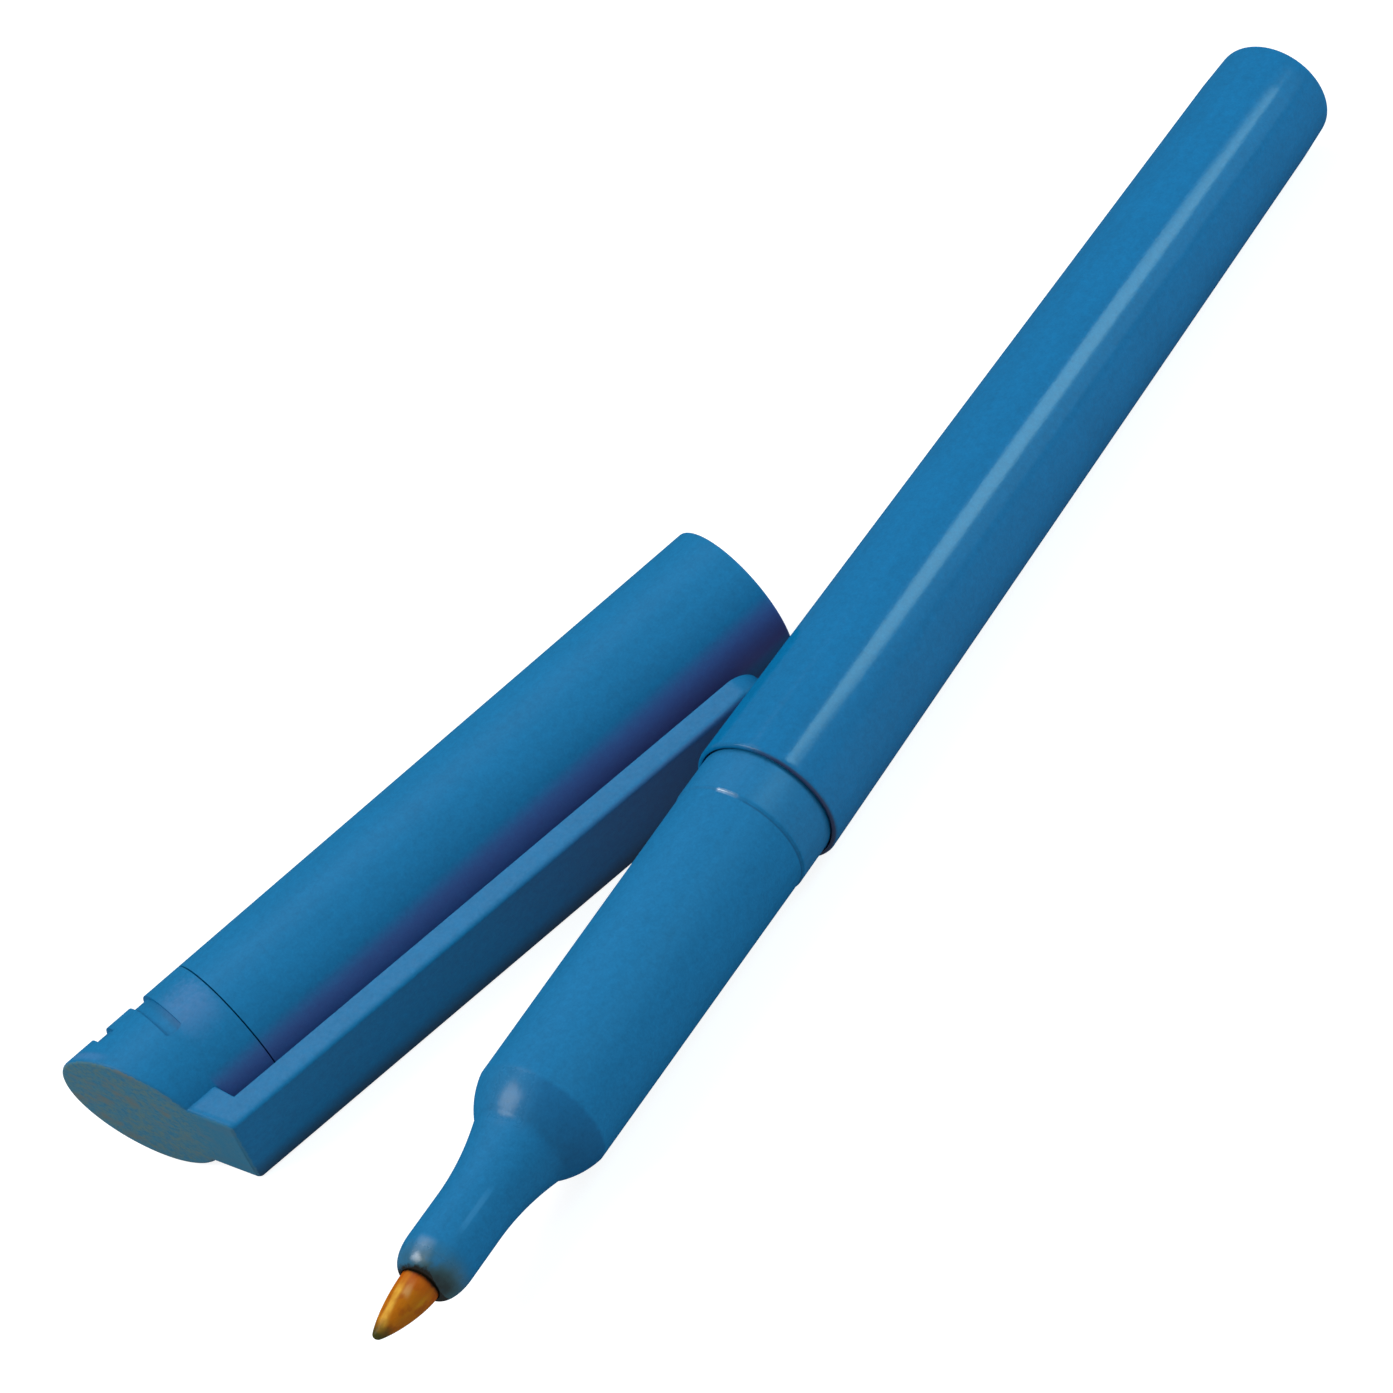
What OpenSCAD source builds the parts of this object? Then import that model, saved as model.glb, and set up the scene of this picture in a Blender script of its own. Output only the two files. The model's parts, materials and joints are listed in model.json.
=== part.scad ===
// Fibre-tip permanent marker, lying open beside its cap
// Millimetres. The pen lies along X with its nib towards -X, and the surface it lies on is z = 0.

/* [Barrel] */
// Length of the barrel from its mouth to its closed end
barrel_len = 75.75; // [65:0.1:90]
// Outside diameter at the mouth
mouth_d = 10.5; // [9.8:0.01:12]
// Outside diameter at the closed end
rear_d = 9.12; // [8.8:0.01:9.8]
// Wall of the barrel
barrel_wall = 1; // [0.8:0.01:1.2]
// Thickness of the closed end
rear_wall = 1.6; // [1:0.1:3]
// Rounding of the closed end's edge
rear_round = 0.45; // [0.2:0.05:1]
// Rounding of the mouth's edge
mouth_round = 0.15; // [0.05:0.01:0.3]

/* [Front section] */
// Length from the barrel's mouth to the end of the neck
front_len = 41.3; // [39:0.1:44]
// Diameter of the collar that the cap pushes on to
collar_d = 9.66; // [9.4:0.01:9.7]
// Length of the collar
collar_len = 3.6; // [2.5:0.1:6]
// Rounding of the collar's front edge
collar_round = 0.1; // [0.05:0.01:0.15]
// Diameter of the grip just ahead of the collar
grip_rear_d = 9.5; // [9.2:0.01:9.52]
// Diameter of the grip at its shoulder
grip_front_d = 9.14; // [8.8:0.01:9.3]
// Length from the barrel's mouth to the start of the shoulder
shoulder_at = 27; // [25:0.1:29]
// Radius of the rounded shoulder
shoulder_radius = 3.1; // [1:0.1:5]
// Angle that the shoulder turns through before it runs into the flare
shoulder_turn = 31; // [28:1:45]
// Diameter of the neck
neck_d = 4.64; // [4.3:0.01:5]
// Rounding of the neck's end, inwards
neck_round = 0.9; // [0.4:0.05:1]
// Rounding of the neck's end, along the neck
neck_round_len = 1.35; // [0.5:0.05:2]
// Length of the spigot inside the barrel
spigot_len = 10; // [6:0.5:14]
// Depth of the reservoir chamber ahead of the barrel's mouth
chamber_depth = 25.4; // [20:0.1:25.6]

/* [Nib] */
// Diameter of the nib where it leaves the neck
nib_d = 2.6; // [2:0.01:2.7]
// Length of nib that stands out of the neck
nib_out = 4.45; // [3:0.05:6]
// Straight stretch at the root of that length
nib_straight = 0.3; // [0.1:0.05:0.8]
// Radius of the worn point
nib_tip_radius = 0.35; // [0.2:0.01:0.5]
// Diameter of the thin shank that feeds from the reservoir
feed_d = 1.9; // [1.4:0.01:2]
// Length of the full-width part of the nib inside the neck
nib_hold = 11; // [6:0.5:14]
// Depth that the shank reaches into the reservoir
feed_depth = 9.5; // [6:0.5:14]

/* [Reservoir] */
// Diameter of the fibre core
core_d = 6; // [5:0.01:6.2]
// Thickness of the film round the core
film_wall = 0.2; // [0.1:0.01:0.3]
// Length of the reservoir
reservoir_len = 90; // [78:0.5:93]
// Thickness of each stop rib behind the reservoir
rib_t = 0.9; // [0.6:0.1:1.5]

/* [Cap] */
// Outside diameter of the cap at its mouth
cap_mouth_d = 11.7; // [11.4:0.01:13]
// Outside diameter of the cap at the seam with its end piece
cap_seam_d = 11.32; // [11:0.01:12.5]
// Distance of the seam past the nib's point when the cap is on
seam_past_nib = 0.3; // [0:0.05:3]
// Length of the end piece beyond the seam, on the axis
end_len = 8.25; // [7.5:0.05:12]
// Slant of the flat end face
end_slant = 20.2; // [10:0.1:25]
// Length of the end piece's plug inside the sleeve
plug_len = 5; // [3:0.1:8]
// Step from the cap's bore down to the plug's socket, on the radius
plug_step = 0.25; // [0.2:0.01:0.4]
// Distance from the end of the cap's bore to the inner cap
bore_spare = 0.3; // [0.1:0.1:2]
// Rounding of the cap's mouth
cap_mouth_round = 0.15; // [0.05:0.01:0.3]

/* [Grip recesses of the cap end] */
// Width of each recess along the cap
recess_w = 1.25; // [0.6:0.05:1.6]
// Depth of each recess
recess_depth = 0.3; // [0.15:0.01:0.5]
// Distance from the seam to the first recess
recess_first = 3; // [1.5:0.05:3.5]
// Distance from the first recess to the second
recess_pitch = 3.2; // [2:0.05:3.5]
// Half the angle that the first recess covers
recess_half_long = 100; // [60:1:110]
// Half the angle that the second recess covers
recess_half_short = 60; // [30:1:100]

/* [Inner cap] */
// Wall of the inner cap
inner_wall = 0.9; // [0.6:0.05:1.2]
// Length of the neck that it takes in
inner_grip = 4.7; // [3:0.1:5.5]
// Free length beyond the nib's point
inner_spare = 0.9; // [0.4:0.05:2]

/* [Clip] */
// Width of the clip
clip_w = 6.5; // [4:0.1:7]
// Thickness of the clip
clip_t = 1.87; // [1.2:0.01:2.2]
// Gap between the clip and the cap at its root
clip_gap_root = 0.57; // [0.4:0.01:1]
// Gap between the clip and the cap at its tip
clip_gap_tip = 1.37; // [1:0.01:2]
// Distance of the clip's tip from the cap's mouth
clip_tip_at = 4.2; // [2:0.1:12]
// Rounding of the tip's corners
clip_corner = 2.6; // [1:0.1:2.6]
// Thickness of the leg that carries the clip, along the cap
leg_t = 2.1; // [1.5:0.1:3]
// Distance of the flexing line ahead of the leg
flex_ahead = 0.9; // [0.6:0.1:3]

/* [Fits] */
// Running clearance between the cap and the collar, on the radius
cap_clear = 0.04; // [0.02:0.01:0.08]
// Clearance of pushed-in pieces, on the radius
push_clear = 0.02; // [0.01:0.01:0.05]
// Clearance of the reservoir in its chamber, on the radius
reservoir_clear = 0.05; // [0.02:0.01:0.15]
// Clearance of the inner cap round the neck, on the radius
seal_clear = 0.06; // [0.02:0.01:0.15]
// Clearance at the clip's flexing line
flex_clear = 0.06; // [0.04:0.01:0.1]

/* [Layout on the table] */
// Distance of the cap's mouth behind the barrel's mouth
cap_along = 17.38; // [10:0.01:40]
// Angle between the cap and the pen
cap_yaw = 18.6; // [10:0.1:30]
// Gap between the clip's tip and the barrel, seen from above
clip_pen_gap = 0.4; // [0.3:0.01:6]

/* [Hidden] */
$fn = 96;
arc_steps = 16;
// Overshoot of cutting shapes
over = 1;
blue = "#1f70a8";
deep_blue = "#1c639a";
amber = "#c8790f";
fibre_white = "#e8e2d2";
film_clear = "#d9e2e6";

// Radii and stations of the pen, measured along its axis from the barrel's mouth, rearwards positive
mouth_r = mouth_d / 2;
rear_r = rear_d / 2;
barrel_taper = (mouth_r - rear_r) / barrel_len;
pen_tilt = atan(barrel_taper);
socket_r = mouth_r - barrel_wall;
spigot_r = socket_r - push_clear;
collar_r = collar_d / 2;
neck_r = neck_d / 2;
grip_front_r = grip_front_d / 2;
nib_r = nib_d / 2;
feed_r = feed_d / 2;
core_r = core_d / 2;
film_r = core_r + push_clear + film_wall;
chamber_r = film_r + reservoir_clear;
nib_bore_r = nib_r + push_clear;
cavity_end = barrel_len - rear_wall;
reservoir_rear = reservoir_len - chamber_depth;
nib_tip_at = front_len + nib_out;
feed_rear = chamber_depth - feed_depth;
// Flare radius that joins the shoulder to the neck with no corner
flare_radius = (grip_front_r - neck_r) / (1 - cos(shoulder_turn)) - shoulder_radius;
flare_start = shoulder_at + shoulder_radius * sin(shoulder_turn);
flare_end = flare_start + flare_radius * sin(shoulder_turn);
// Ogive radius that joins the nib's side to its round point
ogive_run = nib_out - nib_straight - nib_tip_radius;
ogive_radius = (pow(ogive_run, 2) / (nib_r - nib_tip_radius) + nib_tip_radius + nib_r) / 2;
ogive_turn = asin(ogive_run / (ogive_radius - nib_tip_radius));

// Radii and stations of the cap, measured along its axis from its mouth towards its closed end
cap_mouth_r = cap_mouth_d / 2;
cap_seam_r = cap_seam_d / 2;
cap_bore_r = collar_r + cap_clear;
seam_at = nib_tip_at + seam_past_nib;
end_at = seam_at + end_len;
cap_taper = (cap_mouth_r - cap_seam_r) / seam_at;
cap_tilt = atan(cap_taper);
plug_socket_r = cap_bore_r - plug_step;
plug_r = plug_socket_r - push_clear;
inner_r = neck_r + seal_clear;
inner_outer_r = inner_r + inner_wall;
inner_front = front_len - inner_grip;
bore_len = inner_front - bore_spare;
inner_floor = nib_tip_at + inner_spare;
inner_rear = inner_floor + inner_wall;

// The clip lies along its own slightly spread line; its flexing line sits just ahead of the leg
leg_front_at = end_at - leg_t - tan(end_slant) * (cap_seam_r + clip_gap_root);
flex_at = leg_front_at - flex_ahead;
clip_root_r = cap_seam_r + clip_gap_root + clip_t / 2;
clip_tip_r = cap_mouth_r + clip_gap_tip + clip_t / 2;
clip_spread = atan((clip_tip_r - clip_root_r) / (flex_at - clip_tip_at));
clip_arm = (flex_at - clip_tip_at) / cos(clip_spread);
// Where the clip's inner face meets the leg's front face, and a height past the end face
leg_corner_gap = leg_front(clip_point(-clip_t / 2, 0)[0]) - clip_point(-clip_t / 2, 0)[1];
leg_corner = leg_corner_gap / (cos(clip_spread) - tan(end_slant) * sin(clip_spread));
leg_top = flex_ahead + leg_t + over;
// The cap lies on its own side and on the clip's lower outer edge, which sets how far it is rolled
clip_out_r = clip_tip_r + clip_t / 2;
clip_reach = norm([clip_out_r, clip_w / 2]);
clip_droop = asin(cap_mouth_r / clip_reach) - atan2(clip_w / 2, clip_out_r);

// Place of the cap's mouth, from the clip's tip and the barrel's side
tip_side = clip_out_r * cos(clip_droop) * cos(cap_yaw) + clip_w / 2 * sin(clip_droop) * cos(cap_yaw);
cap_across = mouth_r + clip_pen_gap + tip_side - clip_tip_at * sin(cap_yaw);
// Farthest reach of the slanted end across the table
end_r = cap_seam_r - cap_taper * end_len;
end_side_c = -cos(cap_yaw) * cos(clip_droop) - tan(end_slant) * sin(cap_yaw);
end_side_t = -cos(cap_yaw) * sin(clip_droop);
far_side = cap_across + end_at * sin(cap_yaw) + end_r * norm([end_side_c, end_side_t]);
middle_x = (barrel_len - nib_tip_at) / 2 * cos(pen_tilt);
middle_y = (far_side - mouth_r) / 2;

// Points of an arc, from one angle to another
function arc(centre, radius, from, to) = oval(centre, radius, radius, from, to);

// Points of an oval's arc, with its half-widths across and along
function oval(centre, across, along, from, to) = [
    for (i = [0:arc_steps])
        let (angle = from + (to - from) * i / arc_steps)
            centre + [across * cos(angle), along * sin(angle)]
];

// Point of the clip's frame, as distances out from the cap's axis and along it
function clip_point(x, z) = [
    clip_root_r + x * cos(clip_spread) - z * sin(clip_spread),
    flex_at + x * sin(clip_spread) + z * cos(clip_spread)
];

// Front face of the leg, at a distance from the cap's axis
function leg_front(x) = end_at - leg_t - tan(end_slant) * x;

// Turns an outline of [radius, station] points round the axis
module turned(points) {
    rotate_extrude() polygon(points);
}

// Puts the pen's axis on the table, nib towards -X
module lay_pen() {
    translate([-middle_x, -middle_y, mouth_r * cos(pen_tilt)])
        rotate([0, 90 + pen_tilt, 0])
            children();
}

// Puts the cap's axis on the table beside the pen; its local X points to the clip
module lay_cap() {
    translate([cap_along - middle_x, cap_across - middle_y, cap_mouth_r * cos(cap_tilt)])
        rotate([0, 0, -cap_yaw])
            rotate([0, -90 - cap_tilt, 0])
                rotate([0, 0, -90 - clip_droop])
                    children();
}

// Clip frame: origin on the flexing line, X outwards, Z towards the cap's closed end
module at_clip() {
    translate([clip_root_r, 0, flex_at])
        rotate([0, -clip_spread, 0])
            children();
}

// Slanted end frame: origin where the end face meets the axis, Z out of the face
module at_end_face() {
    translate([0, 0, end_at])
        rotate([0, end_slant, 0])
            children();
}

module barrel_outline() {
    cavity_front_r = mouth_r - barrel_taper * spigot_len - barrel_wall;
    cavity_rear_r = mouth_r - barrel_taper * cavity_end - barrel_wall;
    edge_r = rear_r + barrel_taper * rear_round;
    polygon(concat(
        [[socket_r, 0]],
        arc([mouth_r - mouth_round, mouth_round], mouth_round, -90, 0),
        arc([edge_r - rear_round, barrel_len - rear_round], rear_round, 0, 90),
        [[0, barrel_len], [0, cavity_end], [cavity_rear_r, cavity_end],
         [cavity_front_r, spigot_len], [socket_r, spigot_len]]
    ));
}

// Tapered tube with a closed end, and four ribs inside that stop the reservoir
module barrel() {
    rib_len = cavity_end - reservoir_rear;
    rib_reach = mouth_r - barrel_taper * cavity_end - barrel_wall / 2;
    color(blue) lay_pen() {
        rotate_extrude() barrel_outline();
        for (turn = [0, 90])
            rotate([0, 0, turn])
                translate([-rib_reach, -rib_t / 2, reservoir_rear])
                    cube([2 * rib_reach, rib_t, rib_len + rear_wall / 2]);
    }
}

// Spigot, collar, grip, rounded shoulder, flare and neck, bored for the reservoir and the nib
module grip_section() {
    color(blue) lay_pen() turned(concat(
        [[chamber_r, spigot_len], [spigot_r, spigot_len], [spigot_r, 0], [collar_r, 0]],
        arc([collar_r - collar_round, collar_round - collar_len], collar_round, 0, -90),
        [[grip_rear_d / 2, -collar_len]],
        arc([grip_front_r - shoulder_radius, -shoulder_at], shoulder_radius, 0, -shoulder_turn),
        arc([neck_r + flare_radius, -flare_end], flare_radius, 180 - shoulder_turn, 180),
        oval([neck_r - neck_round, neck_round_len - front_len], neck_round, neck_round_len, 0, -90),
        [[nib_bore_r, -front_len], [nib_bore_r, -chamber_depth], [chamber_r, -chamber_depth]]
    ));
}

// Bullet point, full-width body held in the neck, and a thin shank that reaches into the reservoir
module nib() {
    straight_end = nib_straight + front_len;
    color(amber) lay_pen() turned(concat(
        [[0, -feed_rear], [feed_r, -feed_rear], [feed_r, nib_hold - front_len], [nib_r, nib_hold - front_len]],
        arc([nib_r - ogive_radius, -straight_end], ogive_radius, 0, -ogive_turn),
        arc([0, nib_tip_radius - nib_tip_at], nib_tip_radius, -ogive_turn, -90)
    ));
}

// Bundle of fibres that holds the ink, drilled for the nib's shank
module reservoir_core() {
    color(fibre_white) lay_pen() difference() {
        translate([0, 0, -chamber_depth]) cylinder(r = core_r, h = reservoir_len);
        translate([0, 0, -chamber_depth - over])
            cylinder(r = feed_r + push_clear, h = feed_depth + over);
    }
}

// Thin film wrapped round the fibres
module reservoir_film() {
    color(film_clear) lay_pen() translate([0, 0, -chamber_depth]) difference() {
        cylinder(r = film_r, h = reservoir_len);
        translate([0, 0, -over]) cylinder(r = core_r + push_clear, h = reservoir_len + 2 * over);
    }
}

// Tube of the cap: a straight bore, a socket for the plug, and a slight taper outside
module cap_sleeve() {
    color(deep_blue) lay_cap() turned(concat(
        [[cap_bore_r, 0]],
        arc([cap_mouth_r - cap_mouth_round, cap_mouth_round], cap_mouth_round, -90, 0),
        [[cap_seam_r, seam_at], [plug_socket_r, seam_at], [plug_socket_r, bore_len], [cap_bore_r, bore_len]]
    ));
}

// Leg that stands out of the end piece and turns the corner into the clip, run on past the end face
module clip_leg() {
    rotate([90, 0, 0]) linear_extrude(clip_w, center = true) polygon([
        [0, leg_front(0)], clip_point(-clip_t / 2, leg_corner), clip_point(-clip_t / 2, 0),
        clip_point(clip_t / 2, 0), clip_point(clip_t / 2, leg_top), [0, end_at + over]
    ]);
}

// Everything past the slanted end face
module past_end_face() {
    size = 4 * clip_out_r;
    at_end_face() translate([-size / 2, -size / 2, 0]) cube(size);
}

// One recess part of the way round, on the side away from the clip
module recess(at, half_angle) {
    rotate([0, 0, 180 - half_angle])
        rotate_extrude(angle = 2 * half_angle)
            translate([cap_seam_r - cap_taper * (at - seam_at) - recess_depth, at])
                square([recess_depth + over, recess_w]);
}

// End piece of the cap: plug, slanted flat end, two shallow recesses and the clip's leg
module cap_end() {
    past_end = end_len + tan(end_slant) * cap_seam_r + over;
    color(blue) lay_cap() difference() {
        union() {
            turned([[0, seam_at - plug_len], [plug_r, seam_at - plug_len], [plug_r, seam_at], [cap_seam_r, seam_at],
                    [cap_seam_r - cap_taper * past_end, seam_at + past_end], [0, seam_at + past_end]]);
            clip_leg();
        }
        past_end_face();
        translate([0, 0, seam_at - plug_len - over])
            cylinder(r = inner_outer_r + push_clear, h = inner_rear - seam_at + plug_len + over);
        at_clip()
            rotate([90, 0, 0])
                cylinder(r = clip_t / 2 + flex_clear, h = clip_w + 2 * over, center = true);
        recess(seam_at + recess_first, recess_half_long);
        recess(seam_at + recess_first + recess_pitch, recess_half_short);
    }
}

// Cup inside the cap that closes round the neck and keeps the nib from drying
module inner_cap() {
    lead_in = inner_wall / 2;
    color(film_clear) lay_cap() turned([
        [inner_r + lead_in, inner_front], [inner_outer_r, inner_front], [inner_outer_r, inner_rear], [0, inner_rear],
        [0, inner_floor], [inner_r, inner_floor], [inner_r, inner_front + lead_in]
    ]);
}

// Flat outline of the clip's arm, from its round-cornered tip to the flexing line
module clip_outline() {
    side = clip_w / 2 - clip_corner;
    translate([-clip_w / 2, -clip_arm + clip_corner]) square([clip_w, clip_arm - clip_corner]);
    translate([-side, -clip_arm]) square([2 * side, clip_corner]);
    for (x = [-side, side]) translate([x, -clip_arm + clip_corner]) circle(r = clip_corner);
}

// Springy arm of the clip, with a round root on the flexing line
module clip() {
    color(blue) lay_cap() at_clip() {
        translate([-clip_t / 2, 0, 0])
            rotate([90, 0, 90])
                linear_extrude(clip_t) clip_outline();
        rotate([90, 0, 0]) cylinder(r = clip_t / 2, h = clip_w, center = true);
    }
}

barrel();
grip_section();
nib();
reservoir_core();
reservoir_film();
cap_sleeve();
cap_end();
inner_cap();
clip();
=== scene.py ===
"""Fibre-tip marker lying open beside its cap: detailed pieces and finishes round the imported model."""

import json
import math

import bmesh
import bpy
from bpy.props import FloatProperty, FloatVectorProperty, PointerProperty
from mathutils import Matrix, Vector


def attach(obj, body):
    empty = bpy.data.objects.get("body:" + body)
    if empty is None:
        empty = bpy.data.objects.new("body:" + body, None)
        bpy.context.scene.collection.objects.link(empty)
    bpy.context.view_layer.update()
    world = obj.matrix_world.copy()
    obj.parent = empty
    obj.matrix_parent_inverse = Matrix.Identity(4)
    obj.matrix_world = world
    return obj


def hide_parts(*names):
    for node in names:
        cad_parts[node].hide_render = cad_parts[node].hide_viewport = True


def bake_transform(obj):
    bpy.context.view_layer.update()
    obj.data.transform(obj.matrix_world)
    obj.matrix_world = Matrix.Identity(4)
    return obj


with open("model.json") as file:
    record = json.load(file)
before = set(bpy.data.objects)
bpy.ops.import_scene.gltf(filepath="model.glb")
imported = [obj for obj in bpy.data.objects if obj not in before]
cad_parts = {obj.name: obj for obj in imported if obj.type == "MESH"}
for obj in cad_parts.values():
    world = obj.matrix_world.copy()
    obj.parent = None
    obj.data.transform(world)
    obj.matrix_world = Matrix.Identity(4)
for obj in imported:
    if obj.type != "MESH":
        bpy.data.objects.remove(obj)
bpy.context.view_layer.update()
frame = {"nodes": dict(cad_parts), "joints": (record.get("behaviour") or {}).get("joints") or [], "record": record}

bl_info = {
    "name": "Fibre-tip marker",
    "version": (1, 0, 0),
    "blender": (4, 5, 0),
    "location": "3D View > Sidebar > Marker",
    "description": "Builds the marker's pen and cap, their finishes and the studio round them",
    "category": "Object",
}

MM = 0.001
# In millimetres: the radius that closes an outline on its axis, and the play of a sliding fit
POLE = 0.0001
SLIDING_FIT = 0.02
# In metres: the slack in tests of where a vertex lies
HAIR = 0.01 * MM
SMOOTH_ANGLE = math.radians(40)
PLASTIC_GLOSS = 0.0125
REST = "rest_place"


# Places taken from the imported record


def mount(name):
    """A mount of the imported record, by its name."""
    return next(m for m in frame["record"]["mounts"] if m["name"] == name)


def joint(name):
    """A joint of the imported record, by its name."""
    return next(j for j in frame["joints"] if j["name"] == name)


def placed(origin, along, towards):
    """The matrix of a frame with Z along one direction and X on the side of another."""
    z = along.normalized()
    x = (towards - towards.dot(z) * z).normalized()
    y = z.cross(x)
    turn = Matrix((x, y, z)).transposed()
    return Matrix.Translation(origin) @ turn.to_4x4()


def pen_place():
    """Pen frame: origin on the axis at the barrel's mouth, Z rearwards, X up."""
    seat = mount("cap_seat")
    along = -Vector(seat["axis"])
    origin = Vector(seat["pos_m"]) + along * seat["dims"]["length_mm"] / 2 * MM
    return placed(origin, along, Vector((0, 0, 1)))


def cap_place():
    """Cap frame: origin on the axis at the cap's mouth, Z towards the closed end, X towards the clip."""
    bore = mount("cap_mouth")
    along = -Vector(bore["axis"])
    origin = Vector(bore["pos_m"]) - along * bore["dims"]["length_mm"] / 2 * MM
    return placed(origin, along, Vector(joint("clip_flex")["pos_m"]) - origin)


PEN = pen_place()
CAP = cap_place()


# Sizes and colours that a user would change


def length(label, millimetres, about):
    """A length setting, given in millimetres and kept in metres."""
    return FloatProperty(
        name=label, description=about, default=millimetres * MM, min=0, precision=5, unit="LENGTH"
    )


def angle(label, degrees, about):
    """An angle setting, given in degrees."""
    return FloatProperty(name=label, description=about, default=math.radians(degrees), unit="ROTATION")


def share(label, value, about):
    """A setting from 0 to 1."""
    return FloatProperty(name=label, description=about, default=value, min=0, max=1, subtype="FACTOR")


def colour(label, value, about):
    """A colour setting, as linear red, green and blue."""
    return FloatVectorProperty(
        name=label, description=about, default=value, min=0, max=1, size=3, subtype="COLOR"
    )


def power(label, watts, about):
    """The power of a light."""
    return FloatProperty(name=label, description=about, default=watts, min=0, unit="POWER")


def position(label, place, about):
    """A place in the scene, in metres."""
    return FloatVectorProperty(name=label, description=about, default=place, size=3, unit="LENGTH")


class MarkerPenSizes(bpy.types.PropertyGroup):
    """Sizes of the pen's pieces."""

    barrel_length: length("Barrel length", 75.75, "From the mouth to the closed end")
    mouth_radius: length("Mouth radius", 5.25, "Outside radius of the barrel at its mouth")
    rear_radius: length("Rear radius", 4.56, "Outside radius of the barrel at its closed end")
    rear_round: length("Rear rounding", 0.3, "Rounding of the closed end's edge")
    rear_run: length("Rear run", 3.6, "Length of the closed end that tapers faster")
    rear_drop: length("Rear drop", 0.1, "How far that end tapers below the barrel's own taper")
    wall: length("Barrel wall", 1.0, "Wall of the barrel")
    rear_wall: length("Rear wall", 1.6, "Thickness of the closed end")
    spigot: length("Spigot length", 10.0, "Length of the grip that sits inside the barrel")
    front: length("Front length", 41.3, "From the barrel's mouth to the end of the neck")
    collar_radius: length("Collar radius", 4.83, "Radius of the collar that holds the cap")
    collar: length("Collar length", 3.6, "Length of the collar")
    grip_rear: length("Grip rear radius", 4.75, "Radius of the grip just ahead of the collar")
    grip_front: length("Grip front radius", 4.56, "Radius of the grip at its shoulder")
    shoulder: length("Shoulder", 27.56, "From the barrel's mouth to the start of the shoulder")
    shoulder_round: length("Shoulder rounding", 5.9, "Radius of the shoulder")
    shoulder_first: angle("Shoulder start", 12.0, "Slope at which the shoulder starts")
    shoulder_turn: angle("Shoulder turn", 40.5, "Turn of the shoulder before the crease")
    flare_end: length("Flare end", 35.9, "From the barrel's mouth to the end of the flare")
    neck_radius: length("Neck radius", 2.34, "Radius of the neck")
    neck_round: length("Neck rounding", 0.95, "Rounding of the neck's end, inwards")
    neck_round_length: length("Neck rounding length", 2.1, "Rounding of the neck's end, along it")
    chamber_radius: length("Chamber radius", 3.27, "Radius of the reservoir's chamber")
    chamber: length("Chamber depth", 25.4, "Depth of the chamber ahead of the mouth")
    nib_radius: length("Nib radius", 1.3, "Radius of the nib")
    nib_out: length("Nib length", 4.45, "Length of nib outside the neck")
    nib_straight: length("Nib straight", 0.3, "Straight stretch of the nib at its root")
    nib_point: length("Nib point", 0.35, "Radius of the worn point")
    nib_lean: length("Nib lean", 0.36, "How far the worn point has been pushed to one side")
    feed_radius: length("Feed radius", 0.95, "Radius of the shank in the reservoir")
    nib_hold: length("Nib hold", 11.0, "Length of the nib held in the neck")
    feed: length("Feed depth", 9.5, "Depth of the shank in the reservoir")


class MarkerCapSizes(bpy.types.PropertyGroup):
    """Sizes of the cap's pieces."""

    mouth_radius: length("Mouth radius", 5.85, "Outside radius of the cap at its mouth")
    seam_radius: length("Seam radius", 5.66, "Outside radius of the cap at its seam")
    seam: length("Seam", 46.05, "From the mouth to the seam of the end piece")
    bore_radius: length("Bore radius", 4.87, "Radius of the bore that takes the collar")
    bore: length("Bore length", 36.3, "Length of that bore")
    socket_radius: length("Socket radius", 4.62, "Radius of the socket that takes the end piece's plug")
    plug_radius: length("Plug radius", 4.6, "Radius of the end piece's plug")
    plug: length("Plug length", 5.0, "Length of the plug")
    liner_radius: length("Liner radius", 3.3, "Radius of the hole that holds the inner cap")
    liner_end: length("Liner end", 47.57, "From the mouth to the bottom of that hole")
    end: length("End", 54.3, "From the mouth to the slanted face, on the axis")
    slant: angle("Slant", 20.2, "Slant of the end face")
    recess_width: length("Recess width", 1.25, "Width of each recess")
    recess_depth: length("Recess depth", 0.3, "Depth of each recess")
    recess_first: length("First recess", 3.0, "From the seam to the first recess")
    recess_pitch: length("Recess pitch", 3.2, "From the first recess to the second")
    recess_long: angle("First recess span", 200.0, "Angle that the first recess covers")
    recess_short: angle("Second recess span", 120.0, "Angle that the second recess covers")
    clip_width: length("Clip width", 6.5, "Width of the clip")
    clip_thick: length("Clip thickness", 1.87, "Thickness of the clip")
    clip_root: length("Clip root", 7.165, "From the cap's axis to the middle of the clip at its root")
    clip_flex: length("Clip flexing line", 49.0078, "From the mouth to the clip's flexing line")
    clip_arm: length("Clip arm", 44.8187, "From the flexing line to the tip")
    clip_spread: angle("Clip spread", 1.26571, "Angle between the clip and the cap")
    clip_corner: length("Clip corner", 2.6, "Rounding of the tip's corners")
    clip_edge: length("Clip edge", 0.65, "Rounding of the outer edge at the clip's tip")
    clip_upper: share("Upper clip edge", 0.4, "Rounding of the upper outer edge, as a share of that")
    clip_lower: share("Lower clip edge", 0.2, "Rounding of the lower outer edge, as a share of that")
    leg: length("Leg thickness", 2.27, "Thickness of the leg that carries the clip, along the cap")
    leg_slant: angle("Leg slant", 12.5, "Slant of the leg's inner side")
    rim: length("Rim rounding", 0.28, "Rounding of the end face's edge")
    edge: length("Edge rounding", 0.12, "Rounding of the edges along the sides of the clip and its leg")


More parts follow.
